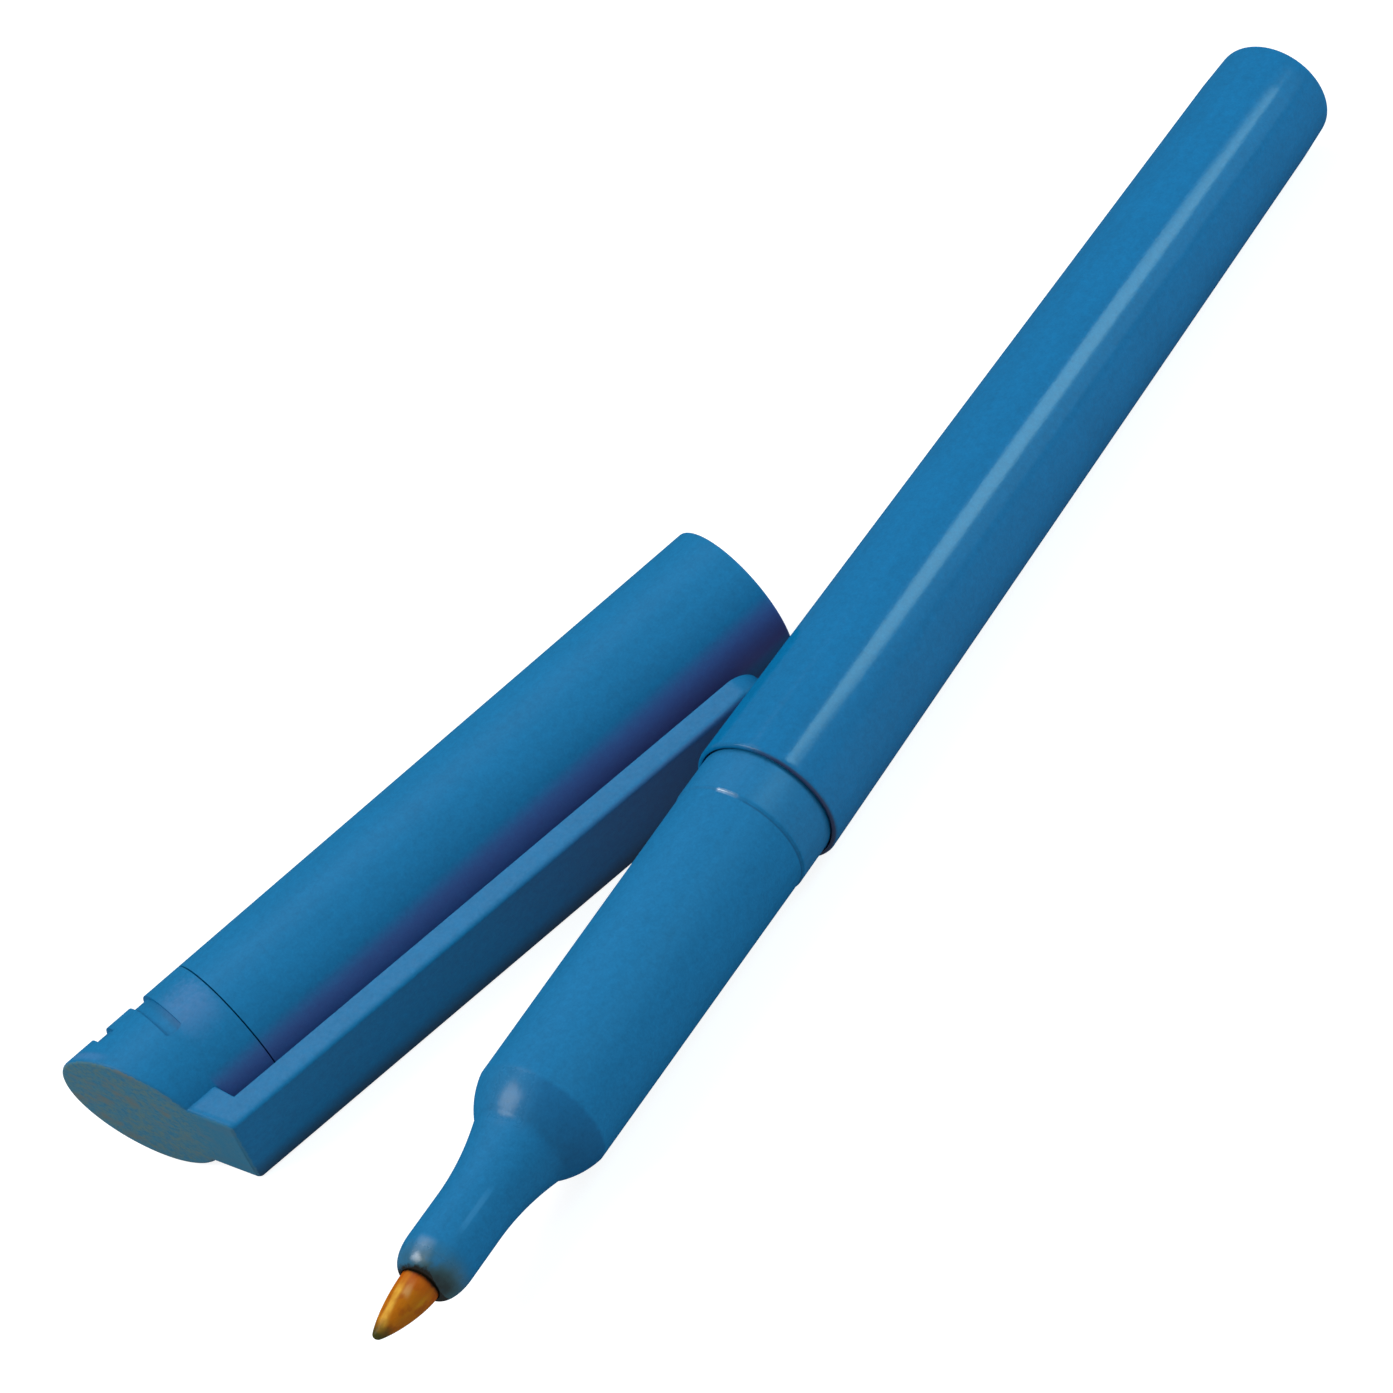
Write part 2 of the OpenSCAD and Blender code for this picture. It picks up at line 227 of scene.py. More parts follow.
class MarkerFinishes(bpy.types.PropertyGroup):
    """Colours and roughness of the finishes."""

    barrel_blue: colour("Barrel blue", (0.003, 0.138, 0.315), "Colour of the barrel's plastic")
    grip_blue: colour("Grip blue", (0.0065, 0.143, 0.315), "Colour of the grip's plastic")
    cap_blue: colour("Cap blue", (0.003, 0.14, 0.31), "Colour of the cap's plastic")
    end_grey: colour("End face grey", (0.046, 0.172, 0.25), "Colour of the cap's dulled end face")
    ink_amber: colour("Nib amber", (0.44, 0.115, 0.002), "Colour of the soaked nib")
    ink_dark: colour("Dried ink", (0.006, 0.006, 0.004), "Colour of dried ink")
    core_tan: colour("Core tan", (0.5, 0.24, 0.06), "Colour of the reservoir's fibre")
    film_grey: colour("Film grey", (0.7, 0.74, 0.76), "Colour of the reservoir's film")
    liner_white: colour("Liner white", (0.68, 0.71, 0.72), "Colour of the inner cap")
    barrel_rough: share("Barrel roughness", 0.15, "Roughness of the barrel")
    grip_rough: share("Grip roughness", 0.6, "Roughness of the grip")
    cap_rough: share("Cap roughness", 0.5, "Roughness of the cap")


class MarkerStage(bpy.types.PropertyGroup):
    """Camera and light."""

    camera_at: position("Camera", (-0.15029, -0.18118, 0.16773), "Place of the camera")
    target: position("Target", (-0.006614, -0.004382, 0.005299), "Point that the camera looks at")
    roll: angle("Camera roll", -28.569, "Turn of the camera about its line of sight")
    lens: FloatProperty(name="Lens", description="Focal length for a 36 mm sensor", default=106.41, min=10)
    ambient: FloatProperty(name="Ambient", description="Strength of the light all round", default=0.4, min=0)
    key: power("Key light", 2.79, "Power of the main light")
    top: power("Top light", 1.2, "Power of the light overhead")
    strip: power("Strip light", 1.2, "Power of the long light that the barrel mirrors")
    skirt: power("Skirt light", 0.2, "Power of the weaker light below that one")
    fill: power("Fill light", 0.65, "Power of the side light that nothing mirrors")


# Shader maths


class Signal:
    """A socket of a node tree that can be used in sums."""

    def __init__(self, shade, socket):
        self.shade = shade
        self.socket = socket

    def __add__(self, other):
        return self.shade.sum("ADD", self, other)

    def __radd__(self, other):
        return self.shade.sum("ADD", other, self)

    def __sub__(self, other):
        return self.shade.sum("SUBTRACT", self, other)

    def __rsub__(self, other):
        return self.shade.sum("SUBTRACT", other, self)

    def __mul__(self, other):
        return self.shade.sum("MULTIPLY", self, other)

    def __rmul__(self, other):
        return self.shade.sum("MULTIPLY", other, self)


class Shade:
    """A node tree, with one method that adds any node."""

    def __init__(self, tree, bends=False):
        self.tree = tree
        self.bends = bends
        self.tree.nodes.clear()

    def node(self, kind, settings=None, inputs=None, output=None):
        """Adds a node, sets its settings and then its sockets, and returns one of its outputs."""
        made = self.tree.nodes.new(kind)
        for key, value in (settings or {}).items():
            setattr(made, key, value)
        for key, value in (inputs or {}).items():
            socket = made.inputs[key] if isinstance(key, int) else self.named(made.inputs, key)
            if isinstance(value, Signal):
                self.tree.links.new(value.socket, socket)
            else:
                socket.default_value = value
        if not made.outputs:
            return None
        return Signal(self, self.named(made.outputs, output))

    @staticmethod
    def named(sockets, name):
        """The first socket in use that has that name, or the first in use."""
        return next(s for s in sockets if s.enabled and name in (None, s.name))

    def sum(self, operation, first, second):
        """A Math node on two values."""
        return self.node("ShaderNodeMath", {"operation": operation}, {0: first, 1: second})

    def most(self, first, second):
        """The larger of two values."""
        return self.sum("MAXIMUM", first, second)

    def step(self, value, low, high):
        """0 below low and 1 above high, with a soft change between them."""
        settings = {"interpolation_type": "SMOOTHSTEP"}
        inputs = {"Value": value, "From Min": low, "From Max": high}
        return self.node("ShaderNodeMapRange", settings, inputs)

    def mix(self, factor, first, second):
        """One colour changing into another."""
        settings = {"data_type": "RGBA"}
        return self.node("ShaderNodeMix", settings, {"Factor": factor, "A": first, "B": second})

    def over(self, base, amount, tint):
        """A colour with a plain tint laid over it, by an amount from 0 to 1."""
        return self.mix(amount, base, rgba(tint))

    def dim(self, tint, factor):
        """A colour times a value."""
        settings = {"operation": "SCALE"}
        return self.node("ShaderNodeVectorMath", settings, {"Vector": tint, "Scale": factor})

    def spot(self):
        """The place on a piece at rest: its Object coordinates, or what a piece that bends has kept."""
        if self.bends:
            return self.node("ShaderNodeAttribute", {"attribute_name": REST}, None, "Vector")
        return self.node("ShaderNodeTexCoord", output="Object")

    def place(self, matrix, stretch=(1, 1, 1)):
        """The place on a piece in its own frame, in millimetres."""
        inputs = {
            "Vector": self.spot(),
            "Location": matrix.translation,
            "Rotation": matrix.to_euler(),
            "Scale": [MM * s for s in stretch],
        }
        return self.node("ShaderNodeMapping", {"vector_type": "TEXTURE"}, inputs)

    def part(self, vector, axis):
        """One part of a vector."""
        return self.node("ShaderNodeSeparateXYZ", None, {"Vector": vector}, axis)

    def noise(self, vector, scale, detail=2.0, rough=0.5):
        """Noise from 0 to 1, with a scale in features per unit of length."""
        inputs = {"Vector": vector, "Scale": scale, "Detail": detail, "Roughness": rough}
        return self.node("ShaderNodeTexNoise", None, inputs, "Fac")

    def bump(self, height, millimetres):
        """A normal that follows a height."""
        inputs = {"Height": height, "Distance": millimetres * MM, "Strength": 1.0}
        return self.node("ShaderNodeBump", None, inputs)

    def finish(self, surface):
        """Ends a material's tree with its surface."""
        self.node("ShaderNodeOutputMaterial", None, {"Surface": surface})


def new_material(name, bends=False):
    """A material with an empty node tree, and the shade that fills it."""
    material = bpy.data.materials.new(name)
    material.use_nodes = True
    return material, Shade(material.node_tree, bends)


def rgba(tint):
    """A colour with full alpha."""
    return (*tint, 1)


# Finishes


def moulded(shade, matrix, tint, rough, grain):
    """Colour, roughness and normal of moulded plastic: fine grain, faint flow lines and mottling."""
    point = shade.place(matrix)
    drawn = shade.place(matrix, (1, 1, 30))
    fine = shade.noise(point, 6.0, 3.0)
    flow = shade.noise(drawn, 1.3, 2.0)
    cloud = shade.noise(point, 0.22, 2.0)
    patchy = shade.noise(point, 2.0, 3.0)
    tone = 0.55 + 0.36 * fine + 0.3 * patchy + 0.1 * flow + 0.14 * cloud
    base = shade.dim(tint, tone)
    dull = rough * (0.75 + 0.3 * fine + 0.2 * cloud)
    normal = shade.bump(fine + 0.35 * flow, grain)
    return point, base, dull, normal


def plastic_shader(shade, base, rough, normal, gloss=PLASTIC_GLOSS):
    """A matt coloured body under a thin, even gloss."""
    shared = {"Roughness": rough, "Normal": normal}
    matt = {"Base Color": base, "Specular IOR Level": 0.0}
    body = shade.node("ShaderNodeBsdfPrincipled", None, {**matt, **shared})
    white = {"Base Color": rgba((1, 1, 1)), "Metallic": 1.0}
    sheen = shade.node("ShaderNodeBsdfPrincipled", None, {**white, **shared})
    return shade.node("ShaderNodeMixShader", None, {"Fac": gloss, 1: body, 2: sheen})


def band(shade, value, low, high, soft):
    """1 between two values, with soft ends."""
    return shade.step(value, low - soft, low) * (1 - shade.step(value, high, high + soft))


def pen_parts(shade, point):
    """How far a point of the pen lies up, to the side, and ahead of the barrel's mouth."""
    return shade.part(point, "X"), shade.part(point, "Y"), shade.part(point, "Z") * -1


def barrel_finish(finishes):
    """Barrel plastic, with painted shade on the right of the mouth's edge, where the collar shades it."""
    material, shade = new_material("barrel_plastic")
    tint, dull = finishes.barrel_blue, finishes.barrel_rough
    point, base, rough, normal = moulded(shade, PEN, tint, dull, grain=0.003)
    ragged = shade.noise(point, 1.2, 3.0)
    # Painted shade: the right of the mouth's edge turns dark purple, where the collar's shadow falls.
    painted_shade = 1 - shade.step(shade.part(point, "Z"), 0.04, 0.2)
    painted_shade = painted_shade * shade.step(shade.part(point, "Y") + 2.0 * ragged, 1.0, 4.0)
    base = shade.over(base, 0.8 * painted_shade, (0.03, 0.02, 0.055))
    shade.finish(plastic_shader(shade, base, rough, normal))
    return material


def grip_finish(sizes, finishes):
    """Grip plastic, worn at its collar and shoulder and inked at the neck's end, with painted shade at the
    collar's step and past the shoulder and a painted highlight along the neck.
    """
    material, shade = new_material("grip_plastic")
    point, base, rough, normal = moulded(shade, PEN, finishes.grip_blue, finishes.grip_rough, grain=0.006)
    place = pen_parts(shade, point)
    end = sizes.front / MM
    blot = shade.noise(point, 0.9, 3.0)
    base, rubbed, smooth = collar_wear_and_shade(shade, base, place, sizes.collar / MM, blot)
    base, worn = shoulder_wear_and_shade(shade, base, place, sizes.shoulder / MM)
    # Painted highlight: a pale streak along the neck.
    base = shade.over(base, neck_painted_highlight(shade, point, place, end), (0.05, 0.25, 0.48))
    base, damp, dry = neck_ink(shade, base, point, place, end, blot, finishes.ink_dark)
    rough = rough - 0.42 * rubbed - 0.34 * worn - 0.36 * damp - 0.15 * smooth
    gloss = PLASTIC_GLOSS + 0.006 * smooth + 0.06 * rubbed + 0.006 * worn + 0.01 * damp * dry
    gloss = gloss + 0.042 * neck_glint(shade, place, end)
    shade.finish(plastic_shader(shade, base, rough, normal, gloss))
    return material


def collar_wear_and_shade(shade, base, place, collar, blot):
    """Painted shade in the collar's step on its right side, and where that step is rubbed and the collar is
    smoother.
    """
    up, side, along = place
    rubbed = band(shade, along, collar - 0.2, collar, 0.1) * shade.step(up, 1, 2)
    rubbed = rubbed * band(shade, side + 0.5 * blot, 1.0, 2.0, 0.4)
    # Painted shade: the step's line is darkened on the right, the side in shade.
    painted_shade = band(shade, along, collar - 0.02, collar + 0.06, 0.06)
    painted_shade = painted_shade * shade.step(side + 0.8 * blot, 2.0, 3.2)
    smooth = band(shade, along, 0.2, collar - 0.4, 0.2)
    return shade.over(base, 0.45 * painted_shade, (0.002, 0.03, 0.08)), rubbed, smooth


def shoulder_wear_and_shade(shade, base, place, shoulder):
    """Painted shade on the right past the shoulder's first line, and where the shoulder is worn smooth."""
    up, side, along = place
    worn = band(shade, along, shoulder + 0.2, shoulder + 3.0, 0.6) * shade.step(up, 1, 2)
    worn = worn * band(shade, side, -0.5, 1.7, 0.9)
    # Painted shade: the shoulder's right side just past its first line, made darker and bluer.
    dark = shade.step(along, shoulder - 0.2, shoulder + 0.2) * shade.step(side, 1.0, 3.0)
    dark = dark * (1 - shade.step(along, shoulder + 1.4, shoulder + 4.2))
    return shade.over(base, 0.25 * dark, (0.002, 0.02, 0.1)), worn


def neck_painted_highlight(shade, point, place, end):
    """A painted highlight: a faint pale streak along the neck, where a light's reflection falls."""
    up, side, along = place
    turn = math.radians(47.5)
    off = math.cos(turn) * side - math.sin(turn) * up + 0.12 * shade.noise(point, 1.5)
    near = math.cos(turn) * up + math.sin(turn) * side
    line = band(shade, off, -0.02, 0.16, 0.16) * shade.step(near, 1.0, 1.5)
    return 0.4 * line * band(shade, along, end - 5.6, end - 4.3, 1.5)


def neck_ink(shade, base, point, place, end, blot, ink):
    """Ink on the neck's end, a stain with a dark ring and smudge, and where it is damp and dry."""
    up, side, along = place
    ragged = shade.noise(point, 3.0, 2.0)
    damp = shade.step(along + 0.6 * blot, end - 1.9, end - 0.8)
    stain = shade.step(along + 0.9 * blot + 0.12 * side, end - 1.8, end + 0.5)
    spread = 0.22 * shade.step(side, 0.1, 0.9) - 0.45 * shade.step(side, 1.3, 1.6)
    ring = shade.step(along + 0.4 * blot + 0.4 * ragged + spread, end + 0.2, end + 0.42)
    smudge = shade.step(along + 0.4 * side + 0.5 * ragged, end - 0.1, end + 1.0)
    smudge = smudge * shade.step(up, -1.2, -0.2) * shade.step(side, 0.5, 1.2)
    soaked = stain * shade.step(blot, 0.05, 0.5) * (0.5 + 0.4 * shade.step(side, -0.4, 1.2))
    base = shade.over(base, soaked, (0.038, 0.085, 0.08))
    return shade.over(base, shade.most(ring, 0.8 * smudge), ink), damp, 1 - stain


def neck_glint(shade, place, end):
    """The wet spot on the neck's end."""
    up, side, along = place
    across = band(shade, side, 0.1, 0.9, 0.4) * shade.step(up, 0.5, 1)
    return across * band(shade, along, end - 1.7, end - 0.7, 0.5)


def nib_finish(sizes, finishes):
    """Bonded fibre soaked in ink: lighter streaks, two pale streaks painted as highlights, darker mottling, a dark
    root and a dirty point.
    """
    material, shade = new_material("nib_fibre")
    point = shade.place(PEN)
    drawn = shade.place(PEN, (1, 1, 14))
    strand = shade.noise(drawn, 5.0, 3.0)
    streak = shade.noise(drawn, 1.1, 2.0)
    blot = shade.noise(point, 2.0, 2.0)
    up, side, along = pen_parts(shade, point)
    root = sizes.front / MM
    tip = (sizes.front + sizes.nib_out) / MM
    base = shade.mix(shade.step(streak, 0.4, 0.7), rgba(finishes.ink_amber), rgba((0.5, 0.19, 0.004)))
    # Painted highlight: a pale streak on the upper left, where the key light's reflection falls.
    pale = band(shade, side + 0.4 * streak, 0.04, 0.22, 0.3) * shade.step(up, 0.1, 0.4)
    base = shade.over(base, pale * (1.1 * shade.noise(point, 1.6, 2.0)), (0.82, 0.42, 0.05))
    # Painted highlight: a second, softer pale streak towards the right, where the strip light's reflection falls.
    second = band(shade, side + 0.3 * streak, 0.55, 0.7, 0.25) * shade.step(up, 0.2, 0.6)
    second = second * band(shade, along, root + 0.7, root + 1.3, 0.6)
    base = shade.over(base, 0.5 * second, (0.62, 0.34, 0.13))
    mottle = shade.step(shade.noise(point, 1.4, 3.0), 0.48, 0.66)
    base = shade.over(base, 0.5 * mottle * (1 - pale), (0.3, 0.05, 0.002))
    fresh = 1 - shade.step(along, root + 0.5, root + 1.5)
    base = shade.over(base, 0.7 * fresh, (0.46, 0.075, 0.002))
    base = shade.dim(base, 0.88 + 0.24 * strand)
    dirty = shade.step(along + 0.8 * blot, tip - 0.9, tip + 0.3)
    base = shade.over(base, dirty, (0.05, 0.045, 0.006))
    clear = shade.step(along + 0.25 * blot, root + 0.1, root + 0.4)
    base = shade.mix(clear, rgba(finishes.ink_dark), base)
    normal = shade.bump(strand, 0.012)
    shade.finish(plastic_shader(shade, base, 0.3 + 0.1 * strand, normal, gloss=0.008))
    return material


def leg_corner(sizes):
    """The corner between the clip's inner side and its leg, in the cap frame."""
    out = sizes.clip_root - sizes.clip_thick / 2
    return Vector((out, 0, sizes.end - math.tan(sizes.slant) * out - sizes.leg))


def cap_finish(name, sizes, finishes, bends=False):
    """Cap plastic, with painted shade under and on the clip, painted sheen near its end and on the clip's sides,
    and dulled on its end face.
    """
    material, shade = new_material(name, bends)
    point, base, rough, normal = moulded(shade, CAP, finishes.cap_blue, finishes.cap_rough, grain=0.006)
    place = tuple(shade.part(point, axis) for axis in "XYZ")
    out, _, along = place
    end = sizes.end / MM
    slope = along + math.tan(sizes.slant) * out
    fleck = shade.noise(point, 3.5, 3.0)
    corner = leg_corner(sizes) / MM
    inner = along + math.tan(sizes.leg_slant) * (out - corner.x)
    leg = shade.step(inner, corner.z - 0.2, corner.z)
    # Painted shade in the gap under the clip.
    base = gap_painted_shade(shade, base, place, leg)
    # Painted shade on the clip's outer side and along its lower edge.
    base = clip_painted_shade(shade, base, place, sizes)
    # Painted sheen: a pale lavender tint beside the first recess and under the rim.
    painted_end_sheen = end_painted_sheen(shade, place, sizes.seam / MM, slope - end, fleck)
    base = shade.over(base, (0.1 + 0.3 * fleck) * painted_end_sheen, (0.14, 0.22, 0.44))
    # Painted sheen: a pale lavender tint on the clip's narrow sides and its leg.
    flank = clip_flank(shade, place, sizes.clip_width / MM / 2, leg)
    flank = flank * (1 - shade.step(slope, end - 0.6, end - 0.35))
    base = shade.over(base, flank * (0.04 + 0.24 * fleck), (0.13, 0.25, 0.44))
    face = shade.step(slope + 0.2 * fleck, end - 0.04, end + 0.06)
    base = shade.mix(0.95 * face, base, end_face(shade, point, out, fleck, finishes.end_grey))
    shade.finish(plastic_shader(shade, base, rough + 0.15 * face, normal, gloss=0.016))
    return material


def gap_painted_shade(shade, base, place, leg):
    """Painted shade: purple in the gap under the clip, and maroon deep in it towards the cap's mouth."""
    out, _, along = place
    gap = shade.step(out, 4.0, 5.1) * (1 - shade.step(out, 5.7, 5.9)) * (1 - leg)
    deep = gap * shade.step(out, 4.9, 5.7) * (1 - shade.step(along, 6.0, 34.0))
    base = shade.over(base, 0.42 * gap, (0.13, 0.05, 0.27))
    return shade.over(base, 0.35 * deep, (0.1, 0.012, 0.06))


def clip_painted_shade(shade, base, place, sizes):
    """Painted shade: maroon on the clip's outer side towards its tip, where the pen shades it, and dark along its
    lower edge.
    """
    out, across, along = place
    thick = sizes.clip_thick / MM
    middle = (along - sizes.clip_flex / MM) * -math.tan(sizes.clip_spread) + sizes.clip_root / MM
    outer = shade.step(out - middle, 0.3 * thick, 0.45 * thick)
    base = shade.over(base, 0.3 * outer * (1 - shade.step(along, 8.0, 34.0)), (0.11, 0.02, 0.1))
    return shade.over(base, 0.72 * outer * shade.step(across * -1, 1.2, 3.2), (0.004, 0.008, 0.016))


def end_painted_sheen(shade, place, seam, below, fleck):
    """Painted sheen: pale patches on the upper side beside the first recess and under the end face's rim."""
    out, across, along = place
    patch = band(shade, along + fleck, seam + 1.6, seam + 3.0, 1.3)
    patch = patch * band(shade, out + 1.5 * fleck, 0.3, 1.3, 2.4)
    rim = band(shade, below, -0.7, -0.5, 0.4) * band(shade, out + fleck, -2.8, -1.6, 1.4)
    return shade.most(patch, 0.8 * rim) * shade.step(across, 2.0, 4.0)


def clip_flank(shade, place, half, leg):
    """The two narrow sides of the clip and its leg."""
    out, across, _ = place
    sides = shade.most(shade.step(across, half - 0.1, half), shade.step(across * -1, half - 0.1, half))
    return sides * shade.step(out, 4.6, 5.0) * shade.most(leg, shade.step(out, 5.9, 6.1))


def end_face(shade, point, out, fleck, grey):
    """The dulled and mottled colour of the end face."""
    speck = shade.step(shade.noise(point, 1.5, 2.0, 0.6), 0.32, 0.68)
    dulled = shade.mix(speck, rgba(grey), rgba((0.094, 0.172, 0.172)))
    dulled = shade.over(dulled, 0.6 * shade.step(fleck, 0.45, 0.65), (0.024, 0.142, 0.25))
    dirt = shade.step(shade.noise(point, 0.6, 2.0), 0.5, 0.72)
    dulled = shade.over(dulled, dirt, (0.115, 0.15, 0.145))
    return shade.over(dulled, 0.75 * shade.step(out, 2.5, 6.5), (0.026, 0.152, 0.255))


def plain_finish(name, matrix, tint, rough, grain):
    """Moulded plastic or fibre without wear."""
    material, shade = new_material(name)
    _, base, dull, normal = moulded(shade, matrix, tint, rough, grain)
    shade.finish(plastic_shader(shade, base, dull, normal))
    return material


def dress(piece, material):
    """Gives a piece that one material."""
    piece.data.materials.clear()
    piece.data.materials.append(material)


# Modelling


def start():
    """Leaves edit mode with nothing selected."""
    if bpy.context.object and bpy.context.object.mode != "OBJECT":
        bpy.ops.object.mode_set(mode="OBJECT")
    bpy.ops.object.select_all(action="DESELECT")


def choose(piece):
    """Makes one piece active, and the only one selected."""
    start()
    bpy.context.view_layer.objects.active = piece
    piece.select_set(True)


def apply_place():
    """Moves the place, turn and scale of what is selected into its mesh."""
    bpy.ops.object.transform_apply(location=True, rotation=True, scale=True)


def edit(piece, mode="VERT"):
    """Opens one piece in edit mode with nothing selected in it."""
    choose(piece)
    bpy.ops.object.mode_set(mode="EDIT")
    bpy.ops.mesh.select_mode(type=mode)
    bpy.ops.mesh.select_all(action="DESELECT")


def pick(piece, kind, test):
    """Selects the vertices, edges or faces of a piece in edit mode that pass a test."""
    mesh = bmesh.from_edit_mesh(piece.data)
    for item in getattr(mesh, kind):
        item.select_set(bool(test(item)))
    mesh.select_flush_mode()
    bmesh.update_edit_mesh(piece.data)


def both(edge, test):
    """Whether the places of an edge's two ends pass a test."""
    return all(test(vertex.co) for vertex in edge.verts)


def arc(across, along, wide, deep, first, last, steps):
    """Points of an oval's arc as (radius, station) pairs."""
    points = []
    for i in range(steps + 1):
        turn = math.radians(first + (last - first) * i / steps)
        points.append((across + wide * math.cos(turn), along + deep * math.sin(turn)))
    return points


def turned(name, outline, segments=128, lean=None):
    """Turns an outline of (radius, station) pairs, in millimetres, round Z by extruding rings."""
    start()
    radius, station = outline[0]
    ring = {"vertices": segments, "radius": radius * MM, "location": (0, 0, station * MM)}
    bpy.ops.mesh.primitive_circle_add(**ring)
    piece = bpy.context.object
    piece.name = name
    piece.data.name = name
    apply_place()
    edit(piece)
    bpy.ops.mesh.select_all(action="SELECT")
    side = Vector((0, 0, 0))
    for next_radius, next_station in outline[1:]:
        next_side = lean(next_station) if lean else side
        move = (next_side - side) + Vector((0, 0, (next_station - station) * MM))
        bpy.ops.mesh.extrude_edges_move(TRANSFORM_OT_translate={"value": move})
        grow = next_radius / radius
        centre = next_side + Vector((0, 0, next_station * MM))
        bpy.ops.transform.resize(value=(grow, grow, 1), center_override=centre)
        radius, station, side = next_radius, next_station, next_side
    bpy.ops.mesh.select_all(action="SELECT")
    bpy.ops.mesh.remove_doubles(threshold=POLE * 5 * MM)
    bpy.ops.mesh.normals_make_consistent(inside=False)
    bpy.ops.object.mode_set(mode="OBJECT")
    return piece


def modify(piece, kind, **values):
    """Adds a modifier and applies it."""
    choose(piece)
    modifier = piece.modifiers.new(kind.lower(), kind)
    for key, value in values.items():
        setattr(modifier, key, value)
    bpy.ops.object.modifier_apply(modifier=modifier.name)


def join_solid(piece, other, operation):
    """Adds another solid to a piece, or cuts it out of it, and removes the other."""
    modify(piece, "BOOLEAN", operation=operation, solver="EXACT", object=other)
    bpy.data.objects.remove(other)


def lay(piece, matrix):
    """Puts a finished mesh in its place and applies it, smooth apart from its sharp edges."""
    choose(piece)
    piece.matrix_world = matrix
    apply_place()
    bpy.ops.object.shade_smooth_by_angle(angle=SMOOTH_ANGLE)
    piece.select_set(False)


def keep_places(piece):
    """Keeps each vertex's place at rest on the mesh, for the finish of a piece that bends."""
    kept = piece.data.attributes.new(REST, "FLOAT_VECTOR", "POINT")
    for vertex, item in zip(piece.data.vertices, kept.data):
        item.vector = vertex.co


def settings(name):
    """One of the scene's groups of settings."""
    return getattr(bpy.context.scene, name)


# Pieces


class MARKER_OT_barrel(bpy.types.Operator):
    """Adds the tapered barrel with its closed end"""

    bl_idname = "marker.barrel"
    bl_label = "Barrel"

    # Radius and depth, in millimetres, of the closed end's shallow disc and of the gate mark in its middle
    END_DISC = ((3.25, 0), (3.1, 0.07), (1.2, 0.09), (1.05, 0.22), (0.55, 0.24), (0.45, 0.12), (POLE, 0.1))

    def execute(self, context):
        sizes = settings("marker_pen")
        long, mouth, rear = sizes.barrel_length / MM, sizes.mouth_radius / MM, sizes.rear_radius / MM
        wall, bottom, spigot = sizes.wall / MM, long - sizes.rear_wall / MM, sizes.spigot / MM
        rounding, drop, run = sizes.rear_round / MM, sizes.rear_drop / MM, sizes.rear_run / MM
        taper = (mouth - rear) / long
        socket = mouth - wall
        lip = 0.3
        edge = rear + taper * rounding - drop
        outline = [(POLE, bottom), (mouth - taper * bottom - wall, bottom)]
        outline += [(mouth - taper * spigot - wall, spigot), (socket, spigot)]
        outline += [(socket, 0.9), (mouth - 0.36, 0.85), (mouth - 0.34, 0.1)]
        outline += arc(mouth - lip, lip, lip, lip, -90, 0, 8)
        for station in (0.45, 1, 6, 18, 36, 54, 68, long - run - 0.6, long - run):
            outline.append((mouth - taper * station, station))
        for past in (0.2, 0.6, 1.2, 2, run - rounding - 0.1):
            station = long - run + past
            outline.append((mouth - taper * station - drop * past / run, station))
        outline += arc(edge - rounding, long - rounding, rounding, rounding, 0, 90, 10)
        outline.append((edge - rounding - 0.3, long))
        outline += [(radius, long - sunk) for radius, sunk in self.END_DISC]
        piece = turned("barrel_shell", outline)
        lay(piece, PEN)
        dress(piece, barrel_finish(settings("marker_finish")))
        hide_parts("barrel")
        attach(piece, "pen")
        return {"FINISHED"}


